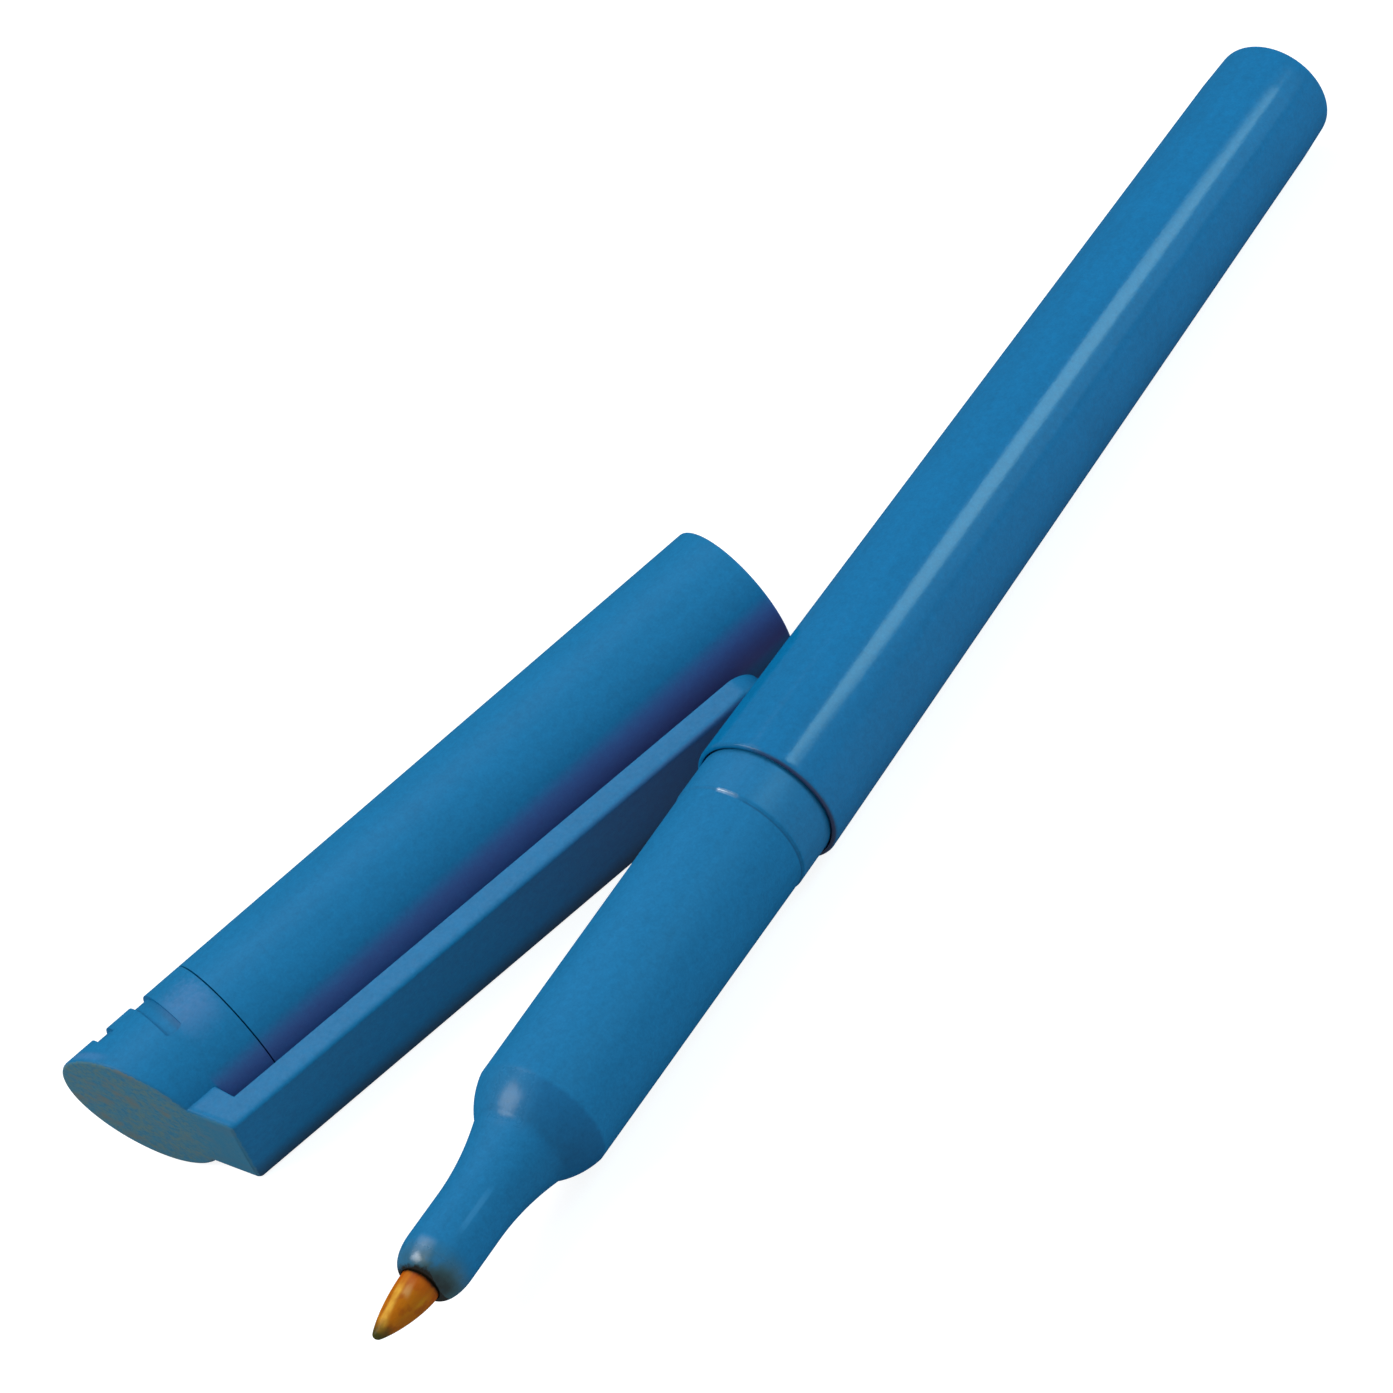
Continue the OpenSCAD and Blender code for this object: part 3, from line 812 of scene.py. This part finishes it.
class MARKER_OT_grip_section(bpy.types.Operator):
    """Adds the grip with its collar, shoulder and neck"""

    bl_idname = "marker.grip_section"
    bl_label = "Grip section"

    def execute(self, context):
        sizes = settings("marker_pen")
        outline = self.rear_outline(sizes) + self.shoulder_outline(sizes) + self.neck_outline(sizes)
        outline.append(outline[0])
        piece = turned("grip_shell", outline)
        lay(piece, PEN)
        dress(piece, grip_finish(sizes, settings("marker_finish")))
        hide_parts("grip_section")
        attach(piece, "pen")
        return {"FINISHED"}

    def rear_outline(self, sizes):
        """The spigot, the collar with a fine groove behind it and a soft step, and the straight grip."""
        chamber, spigot, collar = sizes.chamber_radius / MM, sizes.spigot / MM, sizes.collar / MM
        held = (sizes.mouth_radius - sizes.wall) / MM - SLIDING_FIT
        wide, rear, ahead = sizes.collar_radius / MM, sizes.grip_rear / MM, sizes.grip_front / MM
        shoulder = sizes.shoulder / MM
        groove, step, dip, parts = 0.06, 0.24, 0.01, 8
        outline = [(chamber, spigot), (held, spigot), (held, 0.84), (wide - groove, 0.82)]
        outline += [(wide - groove, 0.1), (wide, -0.05), (wide, -0.2), (wide, 0.3 - collar)]
        for i in range(parts + 1):
            ease = (1 + math.cos(math.pi * i / parts)) / 2
            outline.append((rear - dip + (wide - rear + dip) * ease, step - collar - step * i / parts))
        outline += [(rear, -collar - 0.1), (rear, -collar - 0.3)]
        for station in (8, 14, 20, shoulder - 0.6, shoulder - 0.1):
            along = (station - collar) / (shoulder - collar)
            outline.append((rear + (ahead - rear) * along, -station))
        return outline

    def shoulder_outline(self, sizes):
        """The round shoulder, its crease and the flare that runs out into the neck."""
        ahead, shoulder, neck = sizes.grip_front / MM, sizes.shoulder / MM, sizes.neck_radius / MM
        rounding, first, turn = sizes.shoulder_round / MM, sizes.shoulder_first, sizes.shoulder_turn
        middle, centre = ahead - rounding * math.cos(first), shoulder - rounding * math.sin(first)
        crease, crease_at = middle + rounding * math.cos(turn), centre + rounding * math.sin(turn)
        end, fall, parts = sizes.flare_end / MM, 1.95, 20
        outline = arc(middle, -centre, rounding, rounding, -math.degrees(first), -math.degrees(turn), 16)
        for i in range(1, parts + 1):
            left = 1 - i / parts
            outline.append((neck + (crease - neck) * left**fall, -end + (end - crease_at) * left))
        return outline

    def neck_outline(self, sizes):
        """The neck with its rounded end, and the nib's bore back to the chamber."""
        neck, front, chamber = sizes.neck_radius / MM, sizes.front / MM, sizes.chamber / MM
        deep, long = sizes.neck_round / MM, sizes.neck_round_length / MM
        bore = sizes.nib_radius / MM + SLIDING_FIT
        outline = [(neck, long + 1.6 - front), (neck, long + 0.2 - front)]
        outline += arc(neck - deep, long - front, deep, long, 0, -90, 12)
        outline += [(bore + 0.05, -front), (bore, 0.12 - front), (bore, -chamber)]
        outline.append((sizes.chamber_radius / MM, -chamber))
        return outline


class MARKER_OT_nib(bpy.types.Operator):
    """Adds the fibre nib with its worn, leaning point"""

    bl_idname = "marker.nib"
    bl_label = "Nib"

    def execute(self, context):
        sizes = settings("marker_pen")
        front, out, radius = sizes.front / MM, sizes.nib_out / MM, sizes.nib_radius / MM
        point, straight = sizes.nib_point / MM, sizes.nib_straight / MM
        shank, held = sizes.feed_radius / MM, sizes.nib_hold / MM - front
        tail = sizes.feed / MM - sizes.chamber / MM
        run = out - straight - point
        ogive = (run**2 / (radius - point) + point + radius) / 2
        turn = math.degrees(math.asin(run / (ogive - point)))
        away = Vector((0.45, -0.89, 0)) * sizes.nib_lean
        bend, slimming = 1.3, 0.06

        def lean(station):
            past = max(0, (-station - front - straight) / (out - straight))
            return away * past**bend

        outline = [(POLE, tail), (shank, tail), (shank, held), (radius, held), (radius, -front)]
        for across, station in arc(radius - ogive, -front - straight, ogive, ogive, 0, -turn, 18):
            past = (-station - front - straight) / run
            outline.append((across - slimming * math.sin(math.pi * min(past, 1)), station))
        outline += arc(0, point - front - out, point, point, -turn, -89, 8)[1:]
        outline.append((POLE, -front - out))
        piece = turned("nib_fibres", outline, 72, lean)
        lay(piece, PEN)
        dress(piece, nib_finish(sizes, settings("marker_finish")))
        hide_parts("nib")
        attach(piece, "pen")
        return {"FINISHED"}


class MARKER_OT_reservoir(bpy.types.Operator):
    """Finishes the reservoir's fibre core and its film"""

    bl_idname = "marker.reservoir"
    bl_label = "Reservoir"

    def execute(self, context):
        finishes = settings("marker_finish")
        fibre = plain_finish("reservoir_fibre", PEN, finishes.core_tan, rough=0.8, grain=0.05)
        film = plain_finish("reservoir_wrap", PEN, finishes.film_grey, rough=0.35, grain=0.004)
        dress(frame["nodes"]["reservoir_core"], fibre)
        dress(frame["nodes"]["reservoir_film"], film)
        return {"FINISHED"}


class MARKER_OT_cap_sleeve(bpy.types.Operator):
    """Adds the tube of the cap"""

    bl_idname = "marker.cap_sleeve"
    bl_label = "Cap sleeve"

    def execute(self, context):
        sizes = settings("marker_cap")
        mouth, rear, seam = sizes.mouth_radius / MM, sizes.seam_radius / MM, sizes.seam / MM
        inside, bore, socket = sizes.bore_radius / MM, sizes.bore / MM, sizes.socket_radius / MM
        taper = (mouth - rear) / seam
        lip, gap = 0.15, 0.03
        outline = [(inside, bore), (inside, 0.25), (inside + 0.1, 0)]
        outline += arc(mouth - lip, lip, lip, lip, -90, 0, 6)
        for station in (0.35, 1, 8, 20, 34, seam - 1, seam - 0.3, seam - 0.07):
            outline.append((mouth - taper * station, station))
        outline += [(rear - 0.12, seam - 0.05), (rear - 0.5, seam - gap)]
        outline += [(socket, seam - gap), (socket, bore)]
        outline.append(outline[0])
        piece = turned("cap_tube", outline)
        lay(piece, CAP)
        dress(piece, cap_finish("cap_tube_plastic", sizes, settings("marker_finish")))
        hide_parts("cap_sleeve")
        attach(piece, "cap")
        return {"FINISHED"}


class MARKER_OT_cap_end(bpy.types.Operator):
    """Adds the cap's slanted end with its recesses and its springy clip"""

    bl_idname = "marker.cap_end"
    bl_label = "Cap end and clip"

    # How far, in millimetres, the pieces run on past the end face before it is cut
    PAST_END = 6

    def execute(self, context):
        sizes = settings("marker_cap")
        piece = self.end_body(sizes)
        join_solid(piece, self.clip_bar(sizes), "UNION")
        edit(piece)
        bpy.ops.mesh.select_all(action="SELECT")
        normal = (math.sin(sizes.slant), 0, math.cos(sizes.slant))
        bpy.ops.mesh.bisect(plane_co=(0, 0, sizes.end), plane_no=normal, use_fill=True, clear_outer=True)
        self.round_rim(piece, sizes, Vector(normal))
        first = sizes.seam + sizes.recess_first
        second = first + sizes.recess_pitch
        join_solid(piece, self.recess_cutter(sizes, first, sizes.recess_long), "DIFFERENCE")
        join_solid(piece, self.recess_cutter(sizes, second, sizes.recess_short), "DIFFERENCE")
        self.round_recesses(piece, sizes, first)
        lay(piece, CAP)
        modify(piece, "WEIGHTED_NORMAL", keep_sharp=True)
        keep_places(piece)
        dress(piece, cap_finish("cap_end_plastic", sizes, settings("marker_finish"), bends=True))
        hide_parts("cap_end", "clip")
        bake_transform(piece)
        return {"FINISHED"}

    def round_rim(self, piece, sizes, normal):
        """Rounds the edge of the end face."""
        bpy.ops.mesh.select_mode(type="EDGE")
        high = sizes.end * normal.z - HAIR / 2

        def on_rim(edge):
            return both(edge, lambda co: co.dot(normal) > high) and edge.calc_face_angle(0) > 0.5

        pick(piece, "edges", on_rim)
        bpy.ops.mesh.bevel(offset=sizes.rim, segments=4, affect="EDGES", clamp_overlap=False)
        start()

    def round_recesses(self, piece, sizes, first):
        """Rounds the upper and lower edges of both recesses."""
        edit(piece, "EDGE")
        low, high = first - HAIR, first + sizes.recess_pitch + sizes.recess_width + HAIR
        inner = sizes.seam_radius - 2 * sizes.recess_depth
        clip_side = 2.5 * MM

        def on_recess(co):
            return low < co.z < high and co.xy.length > inner and co.x < clip_side

        pick(piece, "edges", lambda e: both(e, on_recess) and e.calc_face_angle(0) > 0.6)
        soft = 0.06 * MM
        bpy.ops.mesh.bevel(offset=soft, segments=2, affect="EDGES", clamp_overlap=True)
        start()

    def end_body(self, sizes):
        """The round end with its plug and the hole for the inner cap, run on past the end face."""
        seam, radius = sizes.seam / MM, sizes.seam_radius / MM
        taper = (sizes.mouth_radius - sizes.seam_radius) / sizes.seam
        plug, plug_wide = seam - sizes.plug / MM, sizes.plug_radius / MM
        hole, bottom = sizes.liner_radius / MM, sizes.liner_end / MM
        past = sizes.end / MM + self.PAST_END
        outline = [(POLE, bottom), (hole, bottom), (hole, plug), (plug_wide, plug), (plug_wide, seam)]
        outline += [(radius - 0.5, seam), (radius - 0.12, seam + 0.015), (radius, seam + 0.04)]
        outline += [(radius - taper * (past - seam), past), (POLE, past)]
        return turned("cap_end_and_clip", outline)

    def clip_bar(self, sizes):
        """The clip's arm and leg as one bar, run on past the end face."""
        start()
        wide, thick, arm = sizes.clip_width, sizes.clip_thick, sizes.clip_arm
        past = self.PAST_END * MM
        bpy.ops.mesh.primitive_cube_add(size=1, location=(0, 0, (past - arm) / 2))
        bar = bpy.context.object
        bar.scale = (thick, wide, arm + past)
        apply_place()
        edit(bar, "EDGE")
        tip = -arm + HAIR

        def tip_corner(edge):
            return both(edge, lambda co: co.z < tip) and edge.verts[0].co.x != edge.verts[1].co.x

        pick(bar, "edges", tip_corner)
        bpy.ops.mesh.bevel(offset=sizes.clip_corner, segments=14, affect="EDGES")
        outer, side, top = thick / 2 - HAIR, wide / 2 - HAIR, past - HAIR

        def outer_edge(edge):
            return both(edge, lambda co: co.x > outer) and not both(edge, lambda co: co.z >= top)

        pick(bar, "edges", outer_edge)
        bpy.ops.transform.edge_bevelweight(value=1)
        pick(bar, "edges", lambda e: both(e, lambda co: co.x > outer and co.y > side))
        bpy.ops.transform.edge_bevelweight(value=sizes.clip_upper - 1)
        pick(bar, "edges", lambda e: both(e, lambda co: co.x > outer and co.y < -side))
        bpy.ops.transform.edge_bevelweight(value=sizes.clip_lower - 1)
        bpy.ops.object.mode_set(mode="OBJECT")
        modify(bar, "BEVEL", width=sizes.clip_edge, segments=5, limit_method="WEIGHT")
        tilt = Matrix.Rotation(-sizes.clip_spread, 4, "Y")
        bar.matrix_world = Matrix.Translation((sizes.clip_root, 0, sizes.clip_flex)) @ tilt
        apply_place()
        self.add_leg(bar, sizes)
        return bar

    def add_leg(self, bar, sizes):
        """Draws the leg out of the clip's inner side, towards the cap."""
        edit(bar, "FACE")
        bpy.ops.mesh.select_all(action="SELECT")
        normal = Vector((math.sin(sizes.leg_slant), 0, math.cos(sizes.leg_slant)))
        front = leg_corner(sizes)
        bpy.ops.mesh.bisect(plane_co=front, plane_no=normal)

        def root_face(face):
            return face.normal.x < -0.9 and (face.calc_center_median() - front).dot(normal) > 0

        pick(bar, "faces", root_face)
        reach = 4
        inwards = Vector((-1, 0, math.tan(sizes.leg_slant))) * reach * MM
        bpy.ops.mesh.extrude_region_move(TRANSFORM_OT_translate={"value": inwards})
        bpy.ops.mesh.select_mode(type="EDGE")
        flank = sizes.clip_width / 2 - HAIR / 10
        pick(bar, "edges", lambda e: both(e, lambda co: abs(co.y) > flank) and e.calc_face_angle(0) > 0.6)
        bpy.ops.mesh.bevel(offset=sizes.edge, segments=3, affect="EDGES")
        bpy.ops.mesh.select_all(action="SELECT")
        bpy.ops.mesh.normals_make_consistent(inside=False)
        bpy.ops.object.mode_set(mode="OBJECT")

    def recess_cutter(self, sizes, station, span):
        """A band part of the way round, on the side away from the clip, with rounded ends."""
        start()
        taper = (sizes.mouth_radius - sizes.seam_radius) / sizes.seam
        floor = sizes.seam_radius - taper * (station - sizes.seam) - sizes.recess_depth
        high = 1.5 * MM
        middle = (floor + high / 2, 0, station + sizes.recess_width / 2)
        bpy.ops.mesh.primitive_plane_add(size=1, location=middle, rotation=(math.radians(90), 0, 0))
        cutter = bpy.context.object
        cutter.scale = (high, sizes.recess_width, 1)
        apply_place()
        edit(cutter)
        bpy.ops.mesh.select_all(action="SELECT")
        degrees_each = 3
        steps = int(math.degrees(span) / degrees_each)
        bpy.ops.mesh.spin(steps=steps, angle=span, center=(0, 0, 0), axis=(0, 0, 1))
        bpy.ops.mesh.select_all(action="SELECT")
        bpy.ops.mesh.remove_doubles(threshold=HAIR / 10)
        bpy.ops.mesh.normals_make_consistent(inside=False)
        bpy.ops.mesh.select_mode(type="EDGE")

        def end_corner(edge):
            near, far = (vertex.co.xy.length for vertex in edge.verts)
            return edge.calc_face_angle(0) > 1 and abs(near - far) > MM

        pick(cutter, "edges", end_corner)
        bpy.ops.mesh.bevel(offset=0.45 * sizes.recess_width, segments=6, affect="EDGES")
        bpy.ops.object.mode_set(mode="OBJECT")
        flat = (Vector((vertex.co.x, vertex.co.y, 0)) for vertex in cutter.data.vertices)
        heading = sum(flat, Vector()).normalized()
        cutter.rotation_euler = (0, 0, math.pi - math.atan2(heading.y, heading.x))
        apply_place()
        return cutter


class MARKER_OT_inner_cap(bpy.types.Operator):
    """Finishes the inner cap"""

    bl_idname = "marker.inner_cap"
    bl_label = "Inner cap"

    def execute(self, context):
        white = settings("marker_finish").liner_white
        dress(frame["nodes"]["inner_cap"], plain_finish("liner_plastic", CAP, white, rough=0.5, grain=0.006))
        return {"FINISHED"}


# Studio, panel and registration


class MARKER_OT_stage(bpy.types.Operator):
    """Adds the floor, the lights and the camera"""

    bl_idname = "marker.stage"
    bl_label = "Studio"

    def execute(self, context):
        stage = settings("marker_stage")
        self.floor()
        self.world(stage)
        middle = Vector((0, 0, 0))
        self.area("key_light", (-0.35, 0.245, 0.55), middle, (0.36, 0.36), stage.key)
        self.area("top_light", (0.23, 0.27, 0.83), middle, (0.4, 0.4), stage.top)
        self.side_lights(stage)
        self.camera(stage)
        context.scene.view_settings.view_transform = "Standard"
        return {"FINISHED"}

    def floor(self):
        """The pale floor: white to the camera, and a softer white for the light that it sends back."""
        start()
        bpy.ops.mesh.primitive_plane_add(size=6, location=(0, 0, -0.03 * MM))
        floor = bpy.context.object
        floor.name = "floor"
        apply_place()
        material, shade = new_material("pale_floor")
        point = shade.node("ShaderNodeTexCoord", output="Object")
        tint = shade.mix(shade.noise(point, 40.0), rgba((0.3, 0.3, 0.3)), rgba((0.32, 0.32, 0.32)))
        matt = shade.node("ShaderNodeBsdfDiffuse", None, {"Color": tint})
        glow = shade.node("ShaderNodeEmission", None, {"Color": rgba((1, 1, 1)), "Strength": 0.88})
        lit = shade.node("ShaderNodeAddShader", None, {0: matt, 1: glow})
        bounce = shade.node("ShaderNodeBsdfDiffuse", None, {"Color": rgba((0.5, 0.52, 0.55))})
        shown = {"Fac": self.seen(shade), 1: bounce, 2: lit}
        shade.finish(shade.node("ShaderNodeMixShader", None, shown))
        dress(floor, material)

    def seen(self, shade):
        """1 for rays from the camera, and for those that a gloss or glass sends on."""
        path = "ShaderNodeLightPath"
        seen = shade.most(shade.node(path, output="Is Camera Ray"), shade.node(path, output="Is Glossy Ray"))
        return shade.most(seen, shade.node(path, output="Is Transmission Ray"))

    def world(self, stage):
        """Soft light from all round, behind a white that only the camera, gloss and glass see."""
        world = bpy.data.worlds.new("studio")
        bpy.context.scene.world = world
        world.use_nodes = True
        shade = Shade(world.node_tree)
        pale = {"Color": rgba((0.86, 0.94, 1)), "Strength": stage.ambient}
        soft = shade.node("ShaderNodeBackground", None, pale)
        white = shade.node("ShaderNodeBackground", None, {"Color": rgba((1, 1, 1)), "Strength": 1.0})
        both_kinds = shade.node("ShaderNodeMixShader", None, {"Fac": self.seen(shade), 1: soft, 2: white})
        shade.node("ShaderNodeOutputWorld", None, {"Surface": both_kinds})

    def area(self, name, place, target, size, watts):
        """A rectangular lamp that faces a target."""
        start()
        bpy.ops.object.light_add(type="AREA", location=place)
        lamp = bpy.context.object
        lamp.name = name
        lamp.data.shape = "RECTANGLE"
        lamp.data.size, lamp.data.size_y = size
        lamp.data.energy = watts
        lamp.rotation_mode = "QUATERNION"
        lamp.rotation_quaternion = (target - lamp.location).to_track_quat("-Z", "Y")
        return lamp

    def side_lights(self, stage):
        """A strip and a weaker skirt that the pen mirrors, and a fill that it doesn't."""
        place, target = Vector((0.335, -0.327, 0.3445)), Vector((0.005, -0.019, 0.009))
        back = (place - target).normalized()
        along = Vector((0.81, 0.67, -0.21))
        along = (along - along.dot(back) * back).normalized()
        across = back.cross(along)
        turn = Matrix((along, across, back)).transposed().to_quaternion()
        place = place + 0.0365 * along
        lamp_length = 0.171
        lamps = (
            ("strip_light", 0, 0.17, stage.strip, True),
            ("skirt_light", -0.2, 0.22, stage.skirt, True),
            ("fill_light", -0.1, 0.3, stage.fill, False),
        )
        for name, shift, lamp_width, watts, mirrored in lamps:
            lamp = self.area(name, place + shift * across, target, (lamp_length, lamp_width), watts)
            lamp.rotation_quaternion = turn
            lamp.data.color = (0.5, 0.93, 1.0)
            lamp.visible_glossy = mirrored

    def camera(self, stage):
        """The camera at the photograph's viewing angle."""
        start()
        bpy.ops.object.camera_add(location=stage.camera_at)
        camera = bpy.context.object
        camera.name = "camera"
        camera.data.sensor_width = 36
        camera.data.lens = stage.lens
        camera.data.clip_start = 0.01
        camera.data.clip_end = 20
        sight = (Vector(stage.target) - Vector(stage.camera_at)).normalized()
        level = sight.to_track_quat("-Z", "Y")
        camera.rotation_mode = "QUATERNION"
        camera.rotation_quaternion = level @ Matrix.Rotation(stage.roll, 4, "Z").to_quaternion()
        bpy.context.scene.camera = camera


class MARKER_PT_panel(bpy.types.Panel):
    """Lists the marker's pieces"""

    bl_idname = "MARKER_PT_panel"
    bl_label = "Marker"
    bl_space_type = "VIEW_3D"
    bl_region_type = "UI"
    bl_category = "Marker"

    def draw(self, context):
        for maker in MAKERS:
            self.layout.operator(maker.bl_idname)


MAKERS = (
    MARKER_OT_stage,
    MARKER_OT_barrel,
    MARKER_OT_grip_section,
    MARKER_OT_nib,
    MARKER_OT_reservoir,
    MARKER_OT_cap_sleeve,
    MARKER_OT_cap_end,
    MARKER_OT_inner_cap,
)
GROUPS = {
    "marker_pen": MarkerPenSizes,
    "marker_cap": MarkerCapSizes,
    "marker_finish": MarkerFinishes,
    "marker_stage": MarkerStage,
}


def register():
    for group in GROUPS.values():
        bpy.utils.register_class(group)
    for name, group in GROUPS.items():
        setattr(bpy.types.Scene, name, PointerProperty(type=group))
    for maker in MAKERS:
        bpy.utils.register_class(maker)
    bpy.utils.register_class(MARKER_PT_panel)


def unregister():
    bpy.utils.unregister_class(MARKER_PT_panel)
    for maker in reversed(MAKERS):
        bpy.utils.unregister_class(maker)
    for name in GROUPS:
        delattr(bpy.types.Scene, name)
    for group in GROUPS.values():
        bpy.utils.unregister_class(group)


def main():
    register()
    bpy.ops.marker.stage()
    bpy.ops.marker.barrel()
    bpy.ops.marker.grip_section()
    bpy.ops.marker.nib()
    bpy.ops.marker.reservoir()
    bpy.ops.marker.cap_sleeve()
    bpy.ops.marker.cap_end()
    bpy.ops.marker.inner_cap()


if __name__ == "__main__":
    main()
